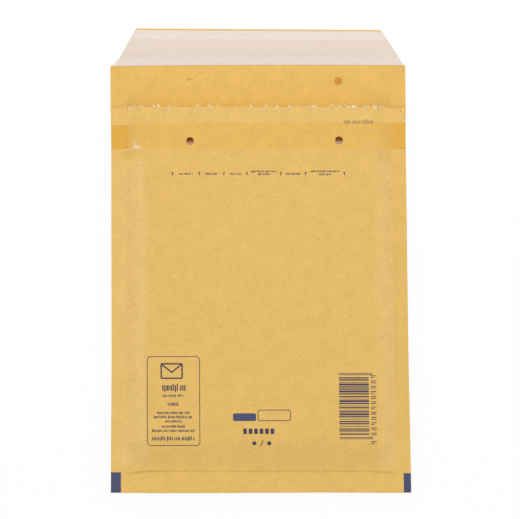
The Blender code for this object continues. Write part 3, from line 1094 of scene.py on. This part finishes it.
marks = {  # places of the wear, the pressed line, the glue and the painted light: across from the middle, down from the mouth
    "glue": (9.05 * mm, 23.2 * mm),  # top and foot of the glued band
    "glueSoft": 0.2 * mm,
    "glueTilt": 0.004,
    "glueBow": (-0.26 * mm, 0.55 * mm, -0.35 * mm),  # of its upper edge: middle, both ends, and one end more
    "glueSag": 0.3 * mm,  # of its lower edge, growing to the right
    "glueLeft": (-77.0 * mm, -73.4 * mm),
    "glueRight": (75.0 * mm, 79.4 * mm),
    "glueShare": 0.82,  # how strongly the right end shows
    # painted light at the lip's two ends, across from the middle
    "lipEndPaintedLight": (71.5 * mm, 77.5 * mm),
    # the next four place the painted light on the padding's side shoulders
    "bandTop": 30 * mm,
    "bandFoot": 15.5 * mm,  # above the bottom fold
    "leftBand": (-79.6 * mm, -64.6 * mm),
    "rightBand": (67.5 * mm, 76.8 * mm),
    "leftEdge": (-80.5 * mm, -79 * mm),
    "nearFoot": (20 * mm, 36 * mm),  # where the painted light near the foot runs out, above the bottom fold
    "patches": [  # torn, whitened strokes: middle across and down, half lengths across and down, strength
        (-70.6 * mm, 21.2 * mm, 1.0 * mm, 2.6 * mm, 0.85),
        (-69.6 * mm, 22.9 * mm, 3.4 * mm, 0.75 * mm, 0.9),
        (-71.0 * mm, 23.9 * mm, 5.2 * mm, 0.4 * mm, 0.6),
    ],
    "streak": (60.5 * mm, 71.5 * mm),
    "streakDrop": 40.5 * mm,
}


def printedPaper():
    material, place = kraftFinish("Golden kraft paper, printed side", "body")
    across, along = place.split()
    onFrontPly = along.step(foldCentre - foldArc, foldCentre)
    drop = mouthY - along
    wobble = (place.cloudy(28, 2.0, 0.5) - 0.5) * 2.2 * mm
    share = across * (1 / halfWidth)
    top, foot = marks["glue"]
    middle, ends, oneEnd = marks["glueBow"]
    slanted = drop + across * marks["glueTilt"]
    belowTop = (slanted - (share * oneEnd + ends) * share * share - middle).over(top, marks["glueSoft"])
    belowFoot = (slanted - (share + 1) * marks["glueSag"]).over(foot, marks["glueSoft"])
    glue = belowTop * (1 - belowFoot) * onFrontPly
    lip = (1 - belowTop) * onFrontPly
    glueEnds = 1 - across.step(*marks["glueLeft"]) + across.step(*marks["glueRight"]) * marks["glueShare"]
    # painted light: the padding's side shoulders are painted paler, as their slopes catch more light, with an
    # uneven inner edge
    uneven = (place.cloudy(42, 3.0, 0.6) - 0.5) * 9 * mm
    inner, outer = marks["rightBand"]
    rightBand = (across + uneven * 0.6).over(inner, 3.4 * mm) * (1 - across.over(outer, 0.5 * mm))
    pale = (across + uneven).band(*marks["leftBand"], 2.6 * mm) + rightBand
    onBody = drop.over(marks["bandTop"], 3 * mm)
    pale = pale * onBody * along.over(foldY + marks["bandFoot"], 2.5 * mm) * onFrontPly
    leftEdge = (1 - across.step(*marks["leftEdge"])) * onBody
    seam = (1 - along.over(creaseY - 0.3 * mm, 0.6 * mm)) * onFrontPly
    # painted light: the body is painted lighter towards the bottom fold, against the shade on the padding's
    # lower slope
    start, end = marks["nearFoot"]
    nearFoot = 1 - along.step(foldY + start, foldY + end)
    # painted light: the lip's two ends are painted lighter, against the shade of the side shoulders
    lipEndLight = abs(across).band(*marks["lipEndPaintedLight"], 1.5 * mm)
    # darker pressed line: crushed fibres, and painted shade of the crease groove
    line = creaseY + relief["creaseRise"]
    start, end, droop = relief["creaseDroop"]
    lifted = along + abs(across).step(start, end) * droop
    crushedAndShaded = lifted.band(line - 0.4 * mm, line + 0.8 * mm, 0.4 * mm)
    crushedAndShaded = crushedAndShaded * across.band(relief["creaseLeft"] + 1.5 * mm, relief["creaseRight"] - 1 * mm, 3 * mm)
    start, end, weak = relief["creaseWeak"]
    crushedAndShaded = crushedAndShaded * (1 - across.step(start, end) * (1 - weak))
    crushedAndShaded = crushedAndShaded * (0.85 + (place.cloudy(25, 2.0, 0.5) - 0.5) * 1.2)
    # a torn, whitened patch beside the left end of the glue band, and a faint streak at the right
    torn = 0.0
    for x, down, halfAcross, halfDown, strength in marks["patches"]:
        right = (across + wobble * 0.5 - x) * (1 / halfAcross)
        below = (drop + wobble * 0.15 - down) * (1 / halfDown)
        torn = (1 - right.reach(below).step(0.3, 1.5)) * strength + torn
    torn = torn * (0.35 + place.cloudy(420, 3.0, 0.6).step(0.36, 0.66) * 0.65)
    level = drop + across * 0.3 - marks["streakDrop"] + wobble * 0.3
    streak = (across + wobble).band(*marks["streak"], 2.5 * mm) * level.band(-0.5 * mm, 0.5 * mm, 1.0 * mm)
    kraftSurface(place, "body", [
        (nearFoot, "footPaintedLight"), (leftEdge, "edgeBand"), (pale, "shoulderPaintedLight"), (seam * 0.7, "seam"),
        (lip, "lip"), (lip * lipEndLight, "lipEndPaintedLight"), (glue, "glue"), (glue * glueEnds, "glueEnd"),
        (crushedAndShaded, "crushedAndShaded"), ((torn + streak * 0.15) * onFrontPly, "scuffAndPaintedHighlight"),
    ], glue)
    return material


innerMarks = {  # zones of the inner side: painted light at the flap's foot, darker flap sides, and the painted shade and highlight round the disc still in place
    "flapFootPaintedLight": (-1 * mm, 9 * mm, 6 * mm),  # painted light above the mouth: from, to, softness
    "footHalf": (68 * mm, 10 * mm),
    "flapSides": (66 * mm, 80 * mm),
    "ring": (-0.75 * mm, 0.05 * mm, 0.3 * mm),  # from the disc's radius: from, to, softness
    "ringPaintedShade": 0.8,
    "ringPaintedHighlight": 0.28,
}


def innerPaper():
    material, place = kraftFinish("Golden kraft paper, inner side", "flap")
    across, along = place.split()
    onFlap = 1 - along.step(backRow(mouthY + 1 * mm), backRow(mouthY - 4 * mm))
    # painted light: the flap is painted lighter just past the mouth, against the shade of the raised front
    # panel
    low, high, soft = innerMarks["flapFootPaintedLight"]
    half, sideSoft = innerMarks["footHalf"]
    foot = along.band(backRow(mouthY + high), backRow(mouthY + low), soft)
    foot = foot * across.band(-half, half, sideSoft)
    sides = abs(across).step(*innerMarks["flapSides"]) * onFlap
    # the cut round the disc: painted shade above and a painted highlight below, where the pressed disc's rim
    # faces away from and towards the light
    x, up = holes["uncut"]
    right, above = across - x, backRow(mouthY + up) - along
    start, end, soft = innerMarks["ring"]
    ring = right.reach(above).band(holes["uncutRadius"] + start, holes["uncutRadius"] + end, soft)
    upper = (above * 0.85 - right * 0.1).step(-0.3 * mm, 1.6 * mm)
    lower = (above * -0.8 - right * 0.5).step(0.2 * mm, 1.8 * mm)
    kraftSurface(place, "pocketSide", [
        (onFlap, "flap"), (foot, "flapFootPaintedLight"), (sides, "flapSides"),
        (ring * upper * innerMarks["ringPaintedShade"], "crushedAndShaded"), (ring * lower * innerMarks["ringPaintedHighlight"], "scuffAndPaintedHighlight"),
    ])
    return material


def inkOnPaper(name, colour, overlays, wornShare):
    # ink lies thin on the fibres, so the sheet shows through in fine spots
    material, place = kraftFinish(name, colour, 0.6)
    thin = place.cloudy(1300, 3.0, 0.7).step(0.5, 0.75) * wornShare
    lighter = [value * 1.35 for value in colour]
    thin.paint((place.cloudy(500, 2.0, 0.5) * 0.3).paint(colour, lighter), overlays).feed("Base Color")
    paperBump(place, kraft["bump"])
    return material


def speckFinish():
    material, place = newFinish("Bark speck in kraft paper", (0.32, 0.17, 0.055), 0.75)
    place.cloudy(1500, 2.0, 0.6).paint((0.22, 0.11, 0.035), (0.45, 0.27, 0.09)).feed("Base Color")
    return material


def discFinish(name, colour):
    # the punched discs are painted darker than the sheet: painted shade of the holes they lie in
    material, place = newFinish(name, colour, 0.75, False, Specular_IOR_Level=0.2)
    kraftColour(place, colour)
    return material


film = {
    "plain": (0.92, 0.87, 0.8),
    "dull": (0.88, 0.82, 0.74),
    "bright": (0.96, 0.93, 0.89),
    "stretched": (0.99, 0.7, 0.56),  # whitened round the punched holes, and painted warm and bright there as glare and light from the paper behind it
    "stretchedReach": (3.2 * mm, 4.4 * mm),
    "alpha": 0.32,
    "stretchedAlpha": 0.6,
    "roughness": 0.22,
    "torn": (0.95, 0.78, 0.5),
    "tornDull": (0.88, 0.6, 0.27),
    # painted highlight: the colour of the torn film's glints
    "glint": (1.0, 0.88, 0.6),
}


def filmFinish():
    roughness, alpha = film["roughness"], film["alpha"]
    material, place = newFinish("Clear bubble film", film["plain"], roughness, False, Alpha=alpha)
    haze = place.cloudy(240, 3.0, 0.6)
    (roughness - 0.06 + haze * 0.14).feed("Roughness")
    # the film is stretched and whitened round the holes, and painted brighter, warmer and less clear there as
    # glare and light from the paper
    across, along = place.split()
    near = 0.0
    for x, drop in holes["body"]:
        right = across - (x + pocket["lean"] * (mouthY - drop))
        near = 1 - right.reach(along - (mouthY - drop)).step(*film["stretchedReach"]) + near
    near.paint(haze.paint(film["dull"], film["bright"]), film["stretched"]).feed("Base Color")
    (alpha + near * (film["stretchedAlpha"] - alpha)).feed("Alpha")
    haze.bump(0.1, 0.1 * mm)
    return material


def tornFinish():
    # most of it hardly shows; spots picked by noise are painted as bright warm glints, a painted highlight
    material, place = newFinish("Torn film edge", film["torn"], 0.18, False, Alpha=0.6)
    glint = place.cloudy(900, 2.0, 0.6).step(0.42, 0.56)
    glint.paint(film["tornDull"], film["glint"]).feed("Base Color")
    (0.3 + glint * 0.62).feed("Alpha")
    return material


linerPaper = {
    "plain": (0.76, 0.665, 0.59),
    "far": (0.785, 0.69, 0.612),
    "overStrip": (0.76, 0.64, 0.54),
    "runDown": (-76 * mm, -60 * mm, 3.6 * mm),  # the strip's left end sags: from, to, how far
    "roughness": 0.5,
    "grain": 0.3,
    "bump": 0.08,
}


def linerFinish():
    material, place = newFinish(
        "Siliconised liner paper", linerPaper["plain"], linerPaper["roughness"], Specular_IOR_Level=0.3,
    )
    across, along = place.split()
    far = along.over(stripHigh.y, 2 * mm)
    # the adhesive shows through as a tan band that runs down softly at its left end
    uneven = (place.cloudy(90, 3.0, 0.6) - 0.5) * 1.6 * mm
    start, end, sag = linerPaper["runDown"]
    runDown = (1 - across.step(start, end)) * sag
    shown = ((along + uneven + runDown - stripLow.y) / (0.7 * mm + runDown * 0.45)).step(-0.5, 0.5)
    shown = shown * (1 - (along + uneven).step(stripHigh.y - 0.6 * mm, stripHigh.y + 0.9 * mm))
    shown = shown * (0.75 + place.cloudy(60, 3.0, 0.6) * 0.5)
    colour = shown.paint(far.paint(linerPaper["plain"], linerPaper["far"]), linerPaper["overStrip"])
    fine = place.cloudy(1000, 4.0, 0.7)
    broad = place.cloudy(260, 3.0, 0.6)
    shade = 1 + (fine - 0.5) * linerPaper["grain"] + (broad - 0.5) * 0.08
    shade.shading(colour).feed("Base Color")
    (linerPaper["roughness"] - 0.05 + broad * 0.1).feed("Roughness")
    paperBump(place, linerPaper["bump"])
    return material


def adhesiveFinish():
    material, place = newFinish("Hot-melt adhesive", (0.62, 0.45, 0.26), 0.3)
    blotch = place.cloudy(180, 3.0, 0.6)
    blotch.paint((0.55, 0.38, 0.2), (0.72, 0.55, 0.34)).feed("Base Color")
    (0.22 + blotch * 0.16).feed("Roughness")
    return material


def dress(piece, materials, replaced=None):
    for material in materials:
        piece.data.materials.append(material)
    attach(piece, "root")
    if replaced:
        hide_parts(replaced)


jacketFinishes = [
    printedPaper(),
    innerPaper(),
    inkOnPaper("Fine print in navy, thin on kraft", (0.054, 0.044, 0.08), (0.3, 0.19, 0.09), 0.25),
    inkOnPaper("Faint batch print", (0.27, 0.17, 0.085), (0.6, 0.38, 0.13), 0.5),
    speckFinish(),
    inkOnPaper("Full areas of navy print", (0.062, 0.069, 0.141), (0.3, 0.22, 0.13), 0.25),
]
# both discs are coloured darker than the paper as painted shade
discFinishes = [
    discFinish("Kraft disc with painted shade", (0.62, 0.285, 0.048)),
    discFinish("Kraft disc with painted deep shade", (0.8, 0.245, 0.02)),
]
stripRows = spread(stripLow.y, stripHigh.y, strip["step"])
linerRows = runs(
    neckY, (flareEnd, 0.5 * mm), (stripHigh.y, 1.2 * mm), (linerHigh.y + liner["farShift"], 0.8 * mm),
)
dress(buildJacket(), jacketFinishes, "kraft_paper_jacket")
dress(buildDiscs(), discFinishes)
dress(buildLining(), [filmFinish()], "bubble_film_lining")
dress(buildSlivers(), [tornFinish()])
dress(buildBand("adhesiveStrip", stripRows, layStrip), [adhesiveFinish()], "adhesive_strip")
dress(buildBand("releaseLiner", linerRows, layLiner), [linerFinish()], "release_liner")
print("pieces dressed")

# Plain pale floor that keeps a faint shadow, soft studio light and the camera
studio = {
    "floorWhite": 0.9,
    "floorDrop": 0.05 * mm,
    "cameraShare": 0.93,
    "reflectedShare": 0.5,
    "world": 0.807,
    "keyPlace": (0.0, 0.75, 1.05),
    "keySize": 0.7,
    "keyPower": 4.9,
}
camera = {
    "place": (0.365 * mm, -98.0 * mm, 1200 * mm),
    "tilt": 4.66,  # degrees from straight down
    "turn": -0.017,
    "lens": 2095.3 / 520 * 36,  # the photo's focal length in pixels, as millimetres on a 36 mm frame
}


def makeFloor():
    bm = bmesh.new()
    bmesh.ops.create_grid(bm, x_segments=1, y_segments=1, size=3)
    floor = finishMesh("paleFloor", bm, 30, facing=False)
    floor.location.z = -studio["floorDrop"]
    material = bpy.data.materials.new("Pale floor")
    material.use_nodes = True
    material.node_tree.nodes.clear()
    wire = Wire(material.node_tree)
    white = studio["floorWhite"]
    matte = wire.add("ShaderNodeBsdfDiffuse", None, {"Color": (white, white, white, 1)})
    glow = wire.add("ShaderNodeEmission", None, {"Color": (1, 1, 1, 1), "Strength": 1.0})
    seen = wire.add("ShaderNodeLightPath")
    share = seen.other("Is Glossy Ray") + seen.other("Is Transmission Ray")
    share = share * studio["reflectedShare"] + seen.other("Is Camera Ray") * studio["cameraShare"]
    mixed = wire.add("ShaderNodeMixShader", None, {0: share, 1: matte, 2: glow})
    wire.add("ShaderNodeOutputMaterial", None, {"Surface": mixed})
    floor.data.materials.append(material)


def makeLight():
    world = bpy.data.worlds.new("Soft studio")
    bpy.context.scene.world = world
    world.use_nodes = True
    world.node_tree.nodes["Background"].inputs["Color"].default_value = (1, 1, 1, 1)
    seen = Wire(world.node_tree).add("ShaderNodeLightPath").other("Is Camera Ray")
    (studio["world"] + seen * (1 - studio["world"])).feed("Strength", "Background")
    lamp = bpy.data.lights.new("Key softbox", "AREA")
    lamp.energy = studio["keyPower"]
    lamp.size = studio["keySize"]
    key = bpy.data.objects.new("Key softbox", lamp)
    key.location = studio["keyPlace"]
    key.rotation_euler = (-key.location).to_track_quat("-Z", "Y").to_euler()
    bpy.context.scene.collection.objects.link(key)


def makeCamera():
    data = bpy.data.cameras.new("Camera")
    data.sensor_width = 36
    data.lens = camera["lens"]
    data.clip_end = 20
    view = bpy.data.objects.new("Camera", data)
    view.location = camera["place"]
    view.rotation_euler = (math.radians(camera["tilt"]), 0, math.radians(camera["turn"]))
    bpy.context.scene.collection.objects.link(view)
    bpy.context.scene.camera = view


makeFloor()
makeLight()
makeCamera()
bpy.context.scene.view_settings.view_transform = "Standard"
print("floor, light and camera set")
